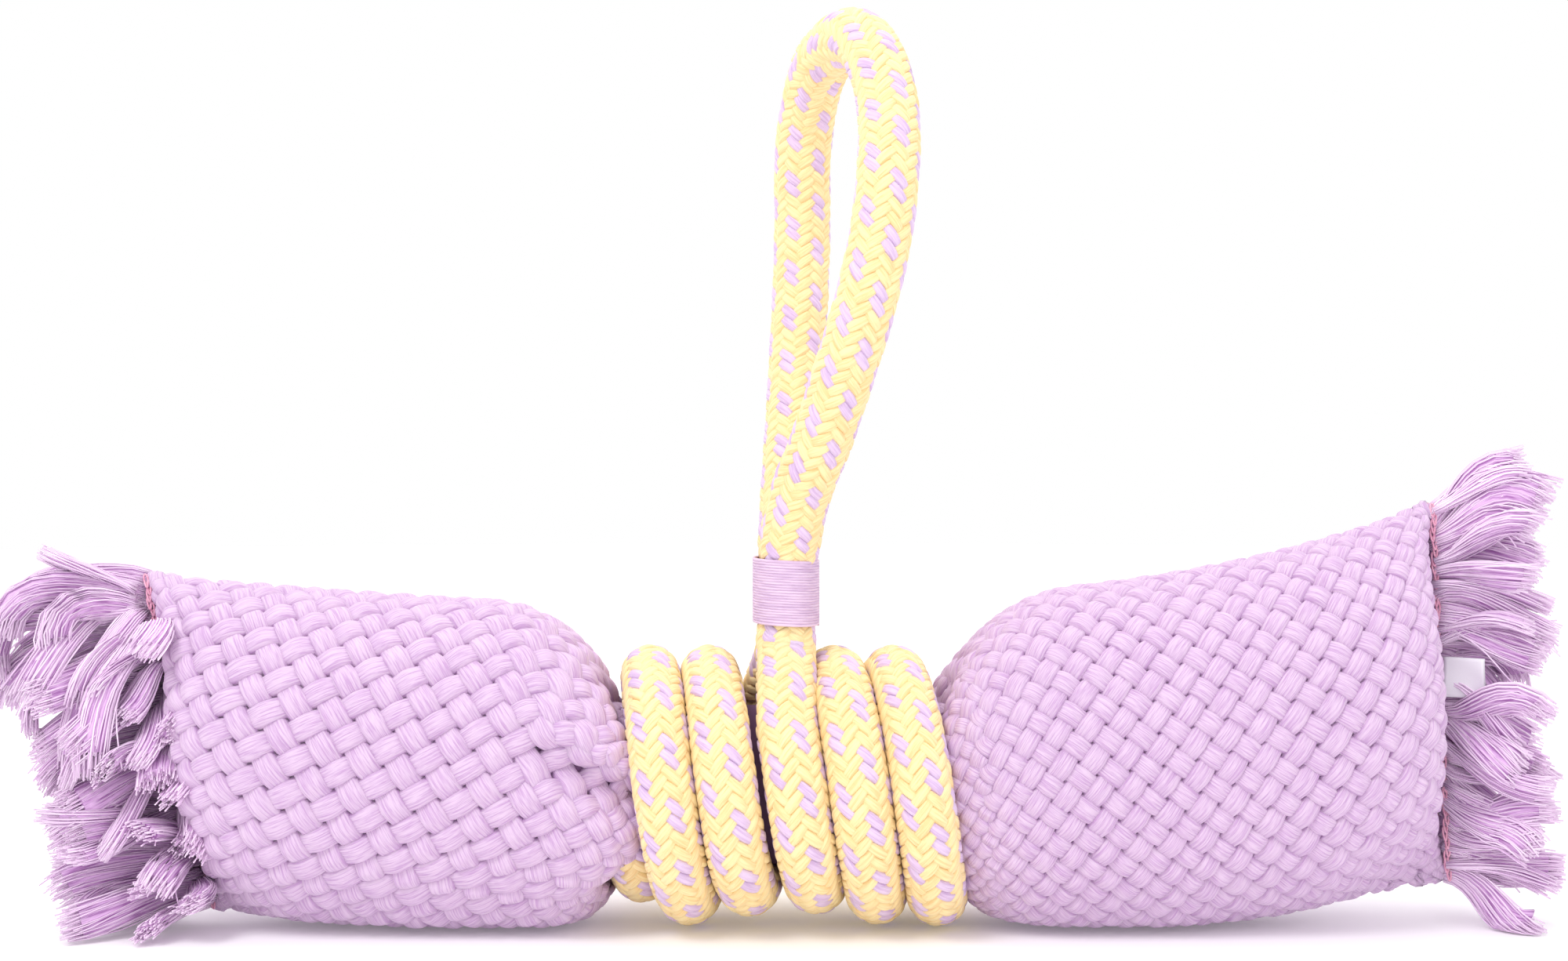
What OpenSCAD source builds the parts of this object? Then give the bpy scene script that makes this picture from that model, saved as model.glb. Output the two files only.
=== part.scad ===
// Woven cotton tug toy. A stuffed fabric tube is drawn in at its waist by one braided rope,
// which is coiled round it and rises between the middle turns into a hand loop.
// The tube is sewn flat at both ends, where its strands hang out as a fringe.
// Origin: on the floor, under the middle of the toy. +X along the toy, -Y to the front.

/* [Rope] */
// Diameter of the braided rope
rope_d = 15; // [12.5:0.5:18]
// Diameter of the rope's core, inside its sheath
core_d = 8.4; // [6.5:0.1:10]
// Gap between neighbouring turns of the rope
turn_gap = 0.2; // [0.1:0.1:1]

/* [Waist] */
// Radius of the fabric tube under the rope
waist_r = 20; // [16:0.5:24]
// Thickness of the woven fabric
fabric_t = 1.8; // [1.2:0.1:2.4]

/* [Whipping] */
// Height of the thread band that binds the loop's two legs
whip_h = 17; // [13:0.5:21]
// Thickness of the thread band
whip_t = 1.2; // [0.8:0.1:2]

/* [Stuffed ends] */
// Distance from the middle of the toy to the left end seam
left_end = 155; // [135:1:190]
// Distance from the middle of the toy to the right end seam
right_end = 167; // [145:1:200]
// Height of the left end where it bulges
left_belly = 83; // [78:1:100]
// Height of the right end where it bulges
right_belly = 86; // [78:1:104]
// Height of the left seam's upper corner
left_top = 90; // [86:1:108]
// Height of the right seam's upper corner
right_top = 107; // [90:1:128]
// Depth of both ends, front to back
belly_depth = 64; // [54:1:76]
// Length over which each end swells from the waist
flare_len = 38; // [32:1:46]

/* [Fringe] */
// Length of the fringe on the right end
right_fringe = 32; // [26:1:38]
// Length of the fringe on the left end
left_fringe = 44; // [35:1:50]
// Thickness of one layer of fringe near its tips
fringe_t = 6; // [4:0.5:8]

/* [Label] */
// Width of the blank label sewn into the right seam
label_w = 10; // [8:0.5:14]
// Height of the blank label
label_h = 10; // [8:0.5:14]

/* [Hidden] */

lilac = [0.90, 0.78, 0.93];
pale_yellow = [1.0, 0.91, 0.62];
pink = [0.84, 0.50, 0.66];
off_white = [0.93, 0.93, 0.92];

gap = 0.3;         // between pieces that lie on each other
core_gap = 0.2;    // between the rope's core and its sheath, all round
stuffing_gap = 0.6; // between the stuffing and its cover
rope_r = rope_d / 2;
bore_r = core_d / 2 + core_gap;

// The coil. psi is the angle round the waist: 0 at the top, 90 at the front, 180 at the bottom.
pitch = rope_d + turn_gap;
coil_r = waist_r + gap + rope_r;       // to the rope's centre
coil_outer = coil_r + rope_r;
axis_z = coil_outer + gap;             // the waist's centre line
left_turn_x = -2.13 * pitch;           // where the left coil's first turn passes the top
right_turn_x = -0.03 * pitch;          // where the right coil's first turn would pass the top
tail_left = -225;                      // psi of the rope's left end
tail_right = 1000;                     // psi of the rope's right end
coil_step = 18;                        // degrees between rings
coil_half = pitch * tail_right / 360 + right_turn_x + rope_r; // half the coil's width, tails included

// The joint at the foot of the hand loop
leg_y = rope_r + 0.5;                  // each leg's distance from the middle plane
whip_gap = 4.6;                        // from the top of the coil to the whipping
whip_x = 0.5;
whip_z = coil_outer + axis_z + whip_gap + whip_h / 2 + 0.9;
whip_half_x = rope_r + whip_t;
whip_half_y = leg_y + rope_r + whip_t;
foot_r = norm([whip_half_x, whip_h / 2]) + 0.4;  // sway: all of the whipping swings inside this
head_r = norm([whip_half_y, whip_h / 2]) + 0.1;  // flop: all of the whipping lies inside this
head_gap = 0.7;                        // from the legs' tops to the loop's ends
stub_top = whip_z - foot_r - 0.5;      // top of the rope that belongs to the coil

// The hand loop's centre line, from the back leg to the front leg, from the whipping's centre
loop_route = [
    [1, 13, 26], [2, 20, 42], [3, 26, 60], [4, 29, 80], [4.5, 30, 98], [4.5, 28, 114],
    [6, 24, 127], [9, 16, 137], [14, 5, 141], [19, -6, 139], [23, -15, 130], [25, -22, 117],
    [24.5, -28, 102], [22.5, -30, 86], [18.5, -29, 69], [13, -24, 51], [8, -18, 36], [4, -13, 26]
];

// The stuffed ends
neck_start = coil_half + gap;
neck_len = 9;
lobe_start = neck_start + neck_len + gap;
flare_start = coil_half - 10.5;        // the swelling begins beside the coil's last full turn
seam_half = 1.5;                       // half the thickness of the sewn end
band = 4;                              // the flat width of the sewn end
floor_press = 2;                       // how far the floor flattens a belly
close_u = 0.6;                         // where each end starts to close towards its seam
seam_recess = 3;                       // how far the seam's middle is drawn in
around = 28;                           // points round a section
along = 15;                            // sections of a stuffed end
cavity_short = 9;                      // the stuffing stops this far from the seam
// [side, distance to the seam, belly height, seam top, seam bottom, lean of the seam]
left_side = [-1, left_end, left_belly, left_top, 6, 7];
right_side = [1, right_end, right_belly, right_top, 10, -2];

function mix(a, b, t) = a + (b - a) * t;
function clamp(t, lo, hi) = max(lo, min(hi, t));
function unit(v) = v / norm(v);

// ---- closed skins through rings of points; each face's corners run clockwise, seen from outside ----

function strip_faces(n, a, b) = [
    for (i = [0 : n - 1])
        let(j = (i + 1) % n)
        each [[a + i, b + j, a + j], [a + i, b + i, b + j]]
];
function skin_faces(n, first, rings) = [
    for (k = [0 : rings - 2]) each strip_faces(n, first + k * n, first + (k + 1) * n)
];
function fan_faces(n, first, middle) = [for (i = [0 : n - 1]) [middle, first + i, first + (i + 1) % n]];
// Flat strips across a ring in which points k and n / 2 - k are mirror images
function strip_cap(n, first) = [
    for (k = [-n / 4 : n / 4 - 1])
        let(a = first + (k + n) % n, b = first + (k + n + 1) % n,
            c = first + n / 2 - k - 1, d = first + (n / 2 - k) % n)
        each concat(a == d ? [] : [[a, c, d]], b == c ? [] : [[a, b, c]])
];
function turned(faces) = [for (f = faces) [f[2], f[1], f[0]]];
function centre(ring) = [for (a = [0 : 2]) [for (q = ring) q[a]] * [for (q = ring) 1] / len(ring)];
function joined(lists) = [for (l = lists) each l];

// A closed solid through rings, with a fan at each end.
module solid_skin(rings) {
    n = len(rings[0]);
    m = len(rings);
    polyhedron(
        concat(joined(rings), [centre(rings[0]), centre(rings[m - 1])]),
        concat(skin_faces(n, 0, m), fan_faces(n, 0, n * m), turned(fan_faces(n, n * (m - 1), n * m + 1)))
    );
}
// A solid with a cavity, open at the first ring and, where through is true, at the last one too.
// A closed last ring gets flat strips.
module hollow_skin(outer, inner, through) {
    n = len(outer[0]);
    m = len(outer);
    k = len(inner);
    in0 = n * m;
    out1 = n * (m - 1);
    in1 = in0 + n * (k - 1);
    polyhedron(
        concat(joined(outer), joined(inner)),
        concat(
            skin_faces(n, 0, m), turned(skin_faces(n, in0, k)), turned(strip_faces(n, 0, in0)),
            through ? strip_faces(n, out1, in1) : concat(turned(strip_cap(n, out1)), strip_cap(n, in1))
        )
    );
}

// ---- rope ----

rope_sides = 12;
function steps(a, b, step) = let(n = ceil((b - a) / step)) [for (i = [0 : n]) a + (b - a) * i / n];
function coil_point(x0, psi) = [x0 + pitch * psi / 360, -coil_r * sin(psi), axis_z + coil_r * cos(psi)];
// Where a leg leaves the coil, counted from the top: a straight leg to the whipping is tangent there.
leave_angle = acos(coil_r / norm([leg_y, stub_top - axis_z])) + atan(leg_y / (stub_top - axis_z));
// From p on the coil, a leg leans in and turns upright under the whipping.
function leg_points(p, y) = [for (t = [[0.33, 0.33], [0.72, 0.66], [1, 1]])
    [mix(p[0], whip_x, t[0]), mix(p[1], y, t[0]), mix(p[2], stub_top, t[1])]];
left_coil = [for (psi = steps(tail_left, 720 - leave_angle, coil_step)) coil_point(left_turn_x, psi)];
right_coil = [for (psi = steps(leave_angle, tail_right, coil_step)) coil_point(right_turn_x, psi)];
left_route = concat(left_coil, leg_points(left_coil[len(left_coil) - 1], leg_y));
right_leg = leg_points(right_coil[0], -leg_y);
right_route = concat([right_leg[2], right_leg[1], right_leg[0]], right_coil);
hand_route = [for (p = loop_route) p + [whip_x, 0, whip_z]];

function tangent(route, i) = unit(route[min(i + 1, len(route) - 1)] - route[max(i - 1, 0)]);
function rope_ring(p, t, r) =
    let(u = unit(cross(t, [1, 0, 0])), v = cross(t, u))
    [for (k = [0 : rope_sides - 1]) let(a = 360 * k / rope_sides) p + r * (cos(a) * u + sin(a) * v)];
function rope_rings(route, r) = [for (i = [0 : len(route) - 1]) rope_ring(route[i], tangent(route, i), r)];
// The same ring for a rope that runs straight up, or straight down, through (whip_x, y).
function upright_ring(y, r, up) = rope_ring([whip_x, y, stub_top], [0, 0, up], r);
// Cut to a bowl under the whipping, and to domes over it, so that both joints turn freely.
function on_foot(ring) = [for (q = ring) [q[0], q[1], whip_z - sqrt(foot_r ^ 2 - (q[0] - whip_x) ^ 2)]];
function on_head(ring, r) = [for (q = ring) [q[0], q[1], whip_z + sqrt(r ^ 2 - q[1] ^ 2)]];

function left_rings(r) = let(n = len(left_route) - 1)
    [for (i = [0 : n])
        i < n ? rope_ring(left_route[i], tangent(left_route, i), r) : upright_ring(leg_y, r, 1)];
function right_rings(r) = let(n = len(right_route) - 1)
    [for (i = [0 : n])
        i > 0 ? rope_ring(right_route[i], tangent(right_route, i), r) : upright_ring(-leg_y, r, -1)];
function leg_rings(y, r) = let(ring = upright_ring(y, r, 1)) [on_foot(ring), on_head(ring, head_r)];
function loop_rings(r) = let(top = head_r + head_gap) concat(
    [on_head(upright_ring(leg_y, r, 1), top)], rope_rings(hand_route, r),
    [on_head(upright_ring(-leg_y, r, -1), top)]
);

module rope_sheath_left() color(pale_yellow) hollow_skin(left_rings(rope_r), left_rings(bore_r), true);
module rope_core_left() color(off_white) solid_skin(left_rings(core_d / 2));
module rope_sheath_right() color(pale_yellow) hollow_skin(right_rings(rope_r), right_rings(bore_r), true);
module rope_core_right() color(off_white) solid_skin(right_rings(core_d / 2));
module leg_sheaths() color(pale_yellow)
    for (y = [-leg_y, leg_y]) hollow_skin(leg_rings(y, rope_r), leg_rings(y, bore_r), true);
module leg_cores() color(off_white) for (y = [-leg_y, leg_y]) solid_skin(leg_rings(y, core_d / 2));
module loop_sheath() color(pale_yellow) hollow_skin(loop_rings(rope_r), loop_rings(bore_r), true);
module loop_core() color(off_white) solid_skin(loop_rings(core_d / 2));

// An upright oval round both legs
module oval(r, h) {
    for (y = [-leg_y, leg_y]) translate([0, y, 0]) cylinder(r = r, h = h, $fn = 64);
    translate([-r, -leg_y, 0]) cube([2 * r, 2 * leg_y, h]);
}
module whipping() color(lilac) translate([whip_x, 0, whip_z - whip_h / 2]) difference() {
    oval(whip_half_x, whip_h);
    translate([0, 0, -1]) oval(rope_r + 0.1, whip_h + 2);
}

// ---- woven cover and stuffing ----

// A stuffed end at x, from waist to seam, and at the angle phi round it: 0 at the back, 90 at the top.
// It is drawn in by skin on all sides, and closes at reach.
function swell(x) = let(t = clamp((x - flare_start) / flare_len, 0, 1)) sqrt(1 - (1 - t) ^ 2);
function end_point(s, x, phi, skin, reach) =
    let(
        u = (x - flare_start) / (s[1] - band - flare_start),
        e = clamp(((x - flare_start) / (reach - flare_start) - close_u) / (1 - close_u), 0, 1),
        f = swell(x),
        top = mix(axis_z + waist_r, mix(s[2], s[3], u ^ 2), f) - skin,
        bottom = mix(axis_z - waist_r, s[4] * max(0, (u - 0.45) / 0.55) ^ 1.3 - floor_press, f) + skin,
        half = max(seam_half - skin * 0.4, (mix(waist_r, belly_depth / 2, f) - skin) * sqrt(1 - e ^ 2.5))
    )
    [
        s[0] * (x + s[5] * e ^ 2 * sin(phi) - seam_recess * e ^ 6 * cos(phi) ^ 2),
        half * cos(phi), max(skin, (top + bottom) / 2 + (top - bottom) / 2 * sin(phi))
    ];
function end_ring(s, x, skin, reach) =
    [for (k = [0 : around - 1]) end_point(s, x, s[0] * 360 * k / around, skin, reach)];
// Sections from x0 to the seam, closer together near it
function end_rings(s, skin, reach) = [
    for (i = [0 : along]) end_ring(s, mix(lobe_start, reach, 1 - (1 - i / along) ^ 1.4), skin, reach)
];
function neck_rings(s, skin) =
    [for (i = [0 : 3]) end_ring(s, neck_start + neck_len * i / 3, skin, s[1] - band)];

// The two faces of the tube lie flat on each other in the band outside the seam.
module cover_end(s) color(lilac) hollow_skin(
    let(rings = end_rings(s, 0, s[1] - band))
        concat(rings, [[for (q = rings[along]) q + [s[0] * band, 0, 0]]]),
    end_rings(s, fabric_t, s[1] - band - cavity_short), false
);
module stuffing_end(s) color(off_white)
    solid_skin(end_rings(s, fabric_t + stuffing_gap, s[1] - band - cavity_short - seam_recess));
module cover_neck(s) color(lilac) hollow_skin(neck_rings(s, 0), neck_rings(s, fabric_t), true);
module stuffing_neck(s) color(off_white) solid_skin(neck_rings(s, fabric_t + stuffing_gap));
module along_x(length) translate([-length / 2, 0, axis_z]) rotate([0, 90, 0]) children();
waist_len = 2 * neck_start - 2 * gap;
module cover_waist() color(lilac) along_x(waist_len) difference() {
    cylinder(r = waist_r, h = waist_len, $fn = 96);
    translate([0, 0, -1]) cylinder(r = waist_r - fabric_t, h = waist_len + 2, $fn = 96);
}
module stuffing_waist() color(off_white) along_x(waist_len)
    cylinder(r = waist_r - fabric_t - stuffing_gap, h = waist_len, $fn = 96);
module cover_neck_left() cover_neck(left_side);
module cover_neck_right() cover_neck(right_side);
module cover_left() cover_end(left_side);
module cover_right() cover_end(right_side);
module stuffing_neck_left() stuffing_neck(left_side);
module stuffing_neck_right() stuffing_neck(right_side);
module stuffing_left() stuffing_end(left_side);
module stuffing_right() stuffing_end(right_side);

// ---- seams, fringe and label ----

// A point on the outer edge of the band: v runs from -1 at its lower corner to 1 at its upper one.
function seam_point(s, v) = end_point(s, s[1] - band, asin(v), 0, s[1] - band) + [s[0] * band, 0, 0];
stitch_d = 1;
stitch_gap = 0.1; // above the band
stitches = 12;
// A row of stitches on both faces of the sewn end
module seam_stitches(s) color(pink)
    for (i = [0 : stitches - 1], y = [-1, 1]) {
        v = -0.9 + 1.8 * (i + 0.5) / stitches;
        p = seam_point(s, v);
        q = seam_point(s, v + 0.09);
        lean = atan2(q[0] - p[0], q[2] - p[2]);
        translate([p[0] - s[0] * band * 0.4, y * (seam_half + stitch_d / 2 + stitch_gap), p[2]])
            rotate([0, lean, 0])
            cylinder(d = stitch_d, h = norm(q - p) * 0.7, center = true, $fn = 16);
    }
module seam_stitches_left() seam_stitches(left_side);
module seam_stitches_right() seam_stitches(right_side);

// One layer of fringe is a sheet of hanging strands: v along the seam, w from its root, at 0, to its tips.
// [side, length, rise of the strands at the upper corner, at the lower corner, drop of the tips]
left_hang = [left_side, left_fringe, 22, -30, 12];
right_hang = [right_side, right_fringe, 34, -14, 9];
fringe_rows = 10;
fringe_steps = 6;
function fringe_point(f, layer, v, w, face) =
    let(
        s = f[0], p = seam_point(s, v), a = mix(f[3], f[2], (v + 1) / 2),
        half = mix(0.55, fringe_t / 2, sqrt(w)), y = layer * (mix(0.75, fringe_t / 2 + 0.4, sqrt(w)) + 0.05),
        reach = f[1] - max(0, abs(p[0]) - s[1])
    )
    [
        p[0] + s[0] * (gap + reach * w * cos(a)),
        y + face * half * (w < 1 ? 1 : 0.5),
        max(gap, p[2] + f[1] * w * sin(a) - f[4] * w ^ 2)
    ];
// Each ring runs up one face of the sheet and down the other.
function fringe_ring(f, layer, w) = let(turn = f[0][0]) [
    for (face = [turn, -turn], i = [0 : fringe_rows])
        fringe_point(f, layer, face * turn * (-0.97 + 1.94 * i / fringe_rows), w, face)
];
module fringe(f, layer) color(lilac)
    fringe_skin([for (k = [0 : fringe_steps]) fringe_ring(f, layer, k / fringe_steps)]);
// Flat strips close both ends, because the sheet is bent.
module fringe_skin(rings) {
    n = len(rings[0]);
    m = len(rings);
    ends = function(first) [
        for (i = [0 : n / 2 - 2])
            let(a = first + i, b = first + i + 1, c = first + n - 2 - i, d = first + n - 1 - i)
            each [[a, b, c], [a, c, d]]
    ];
    polyhedron(joined(rings), concat(skin_faces(n, 0, m), ends(0), turned(ends(n * (m - 1)))));
}
module fringe_left_front() fringe(left_hang, -1);
module fringe_left_back() fringe(left_hang, 1);
module fringe_right_front() fringe(right_hang, -1);
module fringe_right_back() fringe(right_hang, 1);

label_t = 0.5;     // thickness of one layer of the folded label
label_v = 0.1;     // where it is sewn in
label_turn = 27;   // it leans out in front of the fringe
module label() color("white") {
    p = seam_point(right_side, label_v);
    translate([p[0] - 1, -(seam_half + 1.5 * label_t + 0.5), p[2] - label_h / 2])
        rotate([0, 0, -label_turn]) {
        for (y = [-label_t, label_t]) translate([0, y - label_t / 2, 0]) cube([label_w, label_t, label_h]);
        translate([label_w - label_t, -label_t * 1.5, 0]) cube([label_t, 3 * label_t, label_h]);
    }
}

cover_waist();
cover_neck_left();
cover_neck_right();
cover_left();
cover_right();
stuffing_waist();
stuffing_neck_left();
stuffing_neck_right();
stuffing_left();
stuffing_right();
seam_stitches_left();
seam_stitches_right();
fringe_left_front();
fringe_left_back();
fringe_right_front();
fringe_right_back();
label();
rope_sheath_left();
rope_core_left();
rope_sheath_right();
rope_core_right();
leg_sheaths();
leg_cores();
whipping();
loop_sheath();
loop_core();
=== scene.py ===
"""Woven cotton tug toy: a stuffed fabric tube with fringed ends, a coiled braided rope and a hand loop."""
import math

import bpy
import numpy as np
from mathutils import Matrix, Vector


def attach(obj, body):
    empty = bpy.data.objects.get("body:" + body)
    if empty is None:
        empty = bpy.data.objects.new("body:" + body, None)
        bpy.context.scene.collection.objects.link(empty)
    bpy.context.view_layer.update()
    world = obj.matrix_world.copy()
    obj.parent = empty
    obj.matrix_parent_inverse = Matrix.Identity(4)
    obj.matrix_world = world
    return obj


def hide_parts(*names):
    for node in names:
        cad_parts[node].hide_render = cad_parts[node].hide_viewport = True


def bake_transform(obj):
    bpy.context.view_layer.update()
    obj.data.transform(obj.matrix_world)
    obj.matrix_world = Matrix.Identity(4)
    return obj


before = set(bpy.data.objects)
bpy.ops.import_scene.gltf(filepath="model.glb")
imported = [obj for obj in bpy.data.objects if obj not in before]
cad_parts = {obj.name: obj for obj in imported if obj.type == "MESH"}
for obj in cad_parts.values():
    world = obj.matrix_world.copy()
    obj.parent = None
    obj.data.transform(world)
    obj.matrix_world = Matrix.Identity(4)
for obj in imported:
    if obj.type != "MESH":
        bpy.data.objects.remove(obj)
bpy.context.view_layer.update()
MM = 0.001
rng = np.random.default_rng(11)

# ---------------------------------------------------------------- sizes, in millimetres, as in the CAD part
ROPE_D = 15.0
ROPE_R = ROPE_D / 2
PITCH = 15.2                            # from one turn of the coil to the next
COIL_R = 27.8                           # from the waist's centre line to the rope's
AXIS_Z = 35.6                           # height of the waist's centre line
LEFT_TURN_X = -2.13 * PITCH             # where the left coil's first turn passes the top
RIGHT_TURN_X = -0.03 * PITCH            # where the right coil's first turn would pass the top
TAIL_LEFT, TAIL_RIGHT = -225.0, 1000.0  # the rope's ends, in degrees round the coil from the top
WHIP = np.array([0.5, 0.0, 84.9])       # the whipping's centre
WHIP_H = 17.0
LEG_Y = 8.0                             # each leg's distance from the middle plane
STUB_TOP = 71.85                        # height at which a leg has come upright
# The hand loop's centre line, from the back leg to the front leg, from the whipping's centre
LOOP_ROUTE = np.array([
    [0, 8, 0], [0.3, 9, 12], [1, 13, 26], [2, 20, 42], [3, 26, 60], [4, 29, 80],
    [4.5, 30, 98], [4.5, 28, 114], [6, 24, 127], [9, 16, 137], [14, 5, 141], [19, -6, 139],
    [23, -15, 130], [25, -22, 117], [24.5, -28, 102], [22.5, -30, 86], [18.5, -29, 69],
    [13, -24, 51], [8, -18, 36], [4, -13, 26], [1, -9, 12], [0, -8, 0],
], float)
WAIST_R = 20.0                          # radius of the fabric tube under the rope
FLARE_X = 39.0                          # where an end's length is counted from, beside the coil
BELLY_DEPTH = 64.0                      # depth of both ends, front to back
FLOOR_PRESS = 2.0                       # how far the floor flattens a belly
SEAM_HALF = 1.5                         # half the thickness of the sewn end
CLOSE_U = 0.6                           # the share of an end's length where it starts to close

# ---------------------------------------------------------------- sizes of what the CAD part leaves plain
COIL_LEAN = 0.06       # how much the coil's turns lean along the toy, as a slope
TAIL_MORE = 25.0       # how much further the left tail runs than the CAD part's, in degrees
FLARE_LEN = 32.0       # length over which each end swells from the waist
COVER_EDGE = 5.5       # from the middle of the last turn to the edge of the cover that comes out under it
CARRIERS = 12          # strands that wind each way round the rope
LAY = 38.0             # length of one turn of a strand
STRAND_W, STRAND_T = 3.0, 1.1
BRAID_R, BRAID_WAVE = 6.15, 0.42  # a strand's distance from the rope's middle, and its rise and fall
BRAID_SAMPLES = 3      # sections along a strand of the rope for each strand that it crosses
LINER_R = 5.5
WHIP_TURNS, WHIP_THREAD = 24, 0.76
WEAVE_SAMPLES = 7.5    # sections along a strand of the cover for each strand that it crosses
WEAVE_PITCH = 6.0      # the strand spacing at which the weave's thickness and depth are set
BUNDLE_T = 2.1
STITCHES, STITCH_R = 46, 0.27  # links on each face of a seam, and their thread's radius
THREADS, RINGS = 86, 10  # threads in a tuft, and sections along each
THREAD_R = 0.23
TUFT_FLAT = 1.5        # a tuft is this many times wider, and as many times thinner, than a round one
GOLDEN_ANGLE = 2.39996

# ---------------------------------------------------------------- heights between one body and the next
LEGS_BLEND = (71.5, 79.0)    # heights, from the waist to the whipping: the coil's tops stay below
LOOP_BLEND = (86.0, 112.0)   # heights, from the whipping to the hand loop


# ---------------------------------------------------------------- camera and light
def place_camera():
    data = bpy.data.cameras.new("camera")
    data.lens, data.sensor_width = 45.0, 36.0
    data.clip_start = 0.01
    cam = bpy.data.objects.new("camera", data)
    bpy.context.scene.collection.objects.link(cam)
    cam.location = (0.0, -0.5, 0.113)
    cam.rotation_euler = (math.radians(90), 0, 0)
    bpy.context.scene.camera = cam


def area_light(name, place, aim, size, power):
    data = bpy.data.lights.new(name, "AREA")
    data.shape, data.size, data.energy = "DISK", size, power
    lamp = bpy.data.objects.new(name, data)
    bpy.context.scene.collection.objects.link(lamp)
    lamp.location = place
    lamp.rotation_euler = (Vector(aim) - Vector(place)).to_track_quat("-Z", "Y").to_euler()


def light_scene():
    world = bpy.data.worlds.new("studio")
    world.use_nodes = True
    world.node_tree.nodes["Background"].inputs[0].default_value = (1, 1, 1, 1)
    world.node_tree.nodes["Background"].inputs[1].default_value = 1.0
    bpy.context.scene.world = world
    area_light("key", (-0.5, -0.7, 1.1), (0, 0, 0.05), 0.5, 7.0)
    area_light("fill", (0.9, -0.9, 0.5), (0, 0, 0.06), 0.8, 1.8)
    area_light("top", (0.1, 0.2, 1.2), (0, 0, 0.0), 0.9, 4.4)
    scene = bpy.context.scene
    scene.view_settings.view_transform = "Standard"
    scene.view_settings.look = "None"


def make_floor():
    mesh = bpy.data.meshes.new("floor")
    corners, radius = 96, 3.0
    a = np.linspace(0, 2 * np.pi, corners, endpoint=False)
    rim = [(radius * x, radius * y, 0) for x, y in zip(np.cos(a), np.sin(a))]
    mesh.from_pydata(rim, [], [tuple(range(corners))])
    floor = bpy.data.objects.new("floor", mesh)
    bpy.context.scene.collection.objects.link(floor)
    mat = bpy.data.materials.new("backdrop")
    mat.use_nodes = True
    shader = mat.node_tree.nodes["Principled BSDF"]
    shader.inputs["Base Color"].default_value = (0.93, 0.93, 0.93, 1)
    shader.inputs["Roughness"].default_value = 0.9
    shader.inputs["Emission Color"].default_value = (1, 1, 1, 1)
    shader.inputs["Emission Strength"].default_value = 0.1
    mesh.materials.append(mat)


# ---------------------------------------------------------------- materials
def linear(rgb):
    """A colour as seen, from 0 to 255 a channel, in Blender's linear values."""
    c = np.array(rgb, float) / 255
    return tuple(np.where(c <= 0.04045, c / 12.92, ((c + 0.055) / 1.055) ** 2.4)) + (1.0,)


def thread_material(name, low, high, across=10.0, along=0.14, bump=0.35, sheen=0.15, soft=0.0):
    """Yarn: fine fibres run along the strand, and each strand has its own tone. The UV map's u runs across
    the strand and its v along it, in mm. low and high are the fibres' two colours."""
    mat = bpy.data.materials.new(name)
    mat.use_nodes = True
    tree = mat.node_tree
    nodes, links = tree.nodes, tree.links
    shader = nodes["Principled BSDF"]
    uv = nodes.new("ShaderNodeUVMap")
    uv.uv_map = "strand"
    tone = nodes.new("ShaderNodeAttribute")
    tone.attribute_name = "tone"
    stretch = nodes.new("ShaderNodeVectorMath")
    stretch.operation = "MULTIPLY"
    stretch.inputs[1].default_value = (across, along, 1.0)
    links.new(uv.outputs[0], stretch.inputs[0])
    shift = nodes.new("ShaderNodeVectorMath")
    shift.operation = "MULTIPLY_ADD"
    shift.inputs[1].default_value = (0.0, 31.0, 57.0)
    links.new(tone.outputs["Vector"], shift.inputs[0])
    links.new(stretch.outputs[0], shift.inputs[2])
    fibre = nodes.new("ShaderNodeTexNoise")
    fibre.inputs["Scale"].default_value = 1.0
    fibre.inputs["Detail"].default_value = 3.0
    fibre.inputs["Roughness"].default_value = 0.6
    links.new(shift.outputs[0], fibre.inputs["Vector"])
    ramp = nodes.new("ShaderNodeValToRGB")
    ramp.color_ramp.elements[0].position = 0.36
    ramp.color_ramp.elements[0].color = linear(low)
    ramp.color_ramp.elements[1].position = 0.58
    ramp.color_ramp.elements[1].color = linear(high)
    links.new(fibre.outputs["Fac"], ramp.inputs[0])
    links.new(ramp.outputs[0], shader.inputs["Base Color"])
    lump = nodes.new("ShaderNodeBump")
    lump.inputs["Strength"].default_value = bump
    lump.inputs["Distance"].default_value = 0.25 * MM
    links.new(fibre.outputs["Fac"], lump.inputs["Height"])
    links.new(lump.outputs[0], shader.inputs["Normal"])
    shader.inputs["Roughness"].default_value = 0.8
    shader.inputs["Sheen Weight"].default_value = sheen
    shader.inputs["Sheen Roughness"].default_value = 0.5
    shader.inputs["Specular IOR Level"].default_value = 0.25
    if soft:
        shader.inputs["Subsurface Weight"].default_value = soft
        shader.inputs["Subsurface Radius"].default_value = (1.0, 0.75, 0.8)
        shader.inputs["Subsurface Scale"].default_value = 2.0 * MM
    return mat


def plain_material(name, colour, rough=0.9):
    mat = bpy.data.materials.new(name)
    mat.use_nodes = True
    shader = mat.node_tree.nodes["Principled BSDF"]
    noise = mat.node_tree.nodes.new("ShaderNodeTexNoise")
    noise.inputs["Scale"].default_value = 900.0
    ramp = mat.node_tree.nodes.new("ShaderNodeValToRGB")
    ramp.color_ramp.elements[0].color = linear([c * 0.86 for c in colour])
    ramp.color_ramp.elements[1].color = linear(colour)
    mat.node_tree.links.new(noise.outputs["Fac"], ramp.inputs[0])
    mat.node_tree.links.new(ramp.outputs[0], shader.inputs["Base Color"])
    shader.inputs["Roughness"].default_value = rough
    return mat


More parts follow.
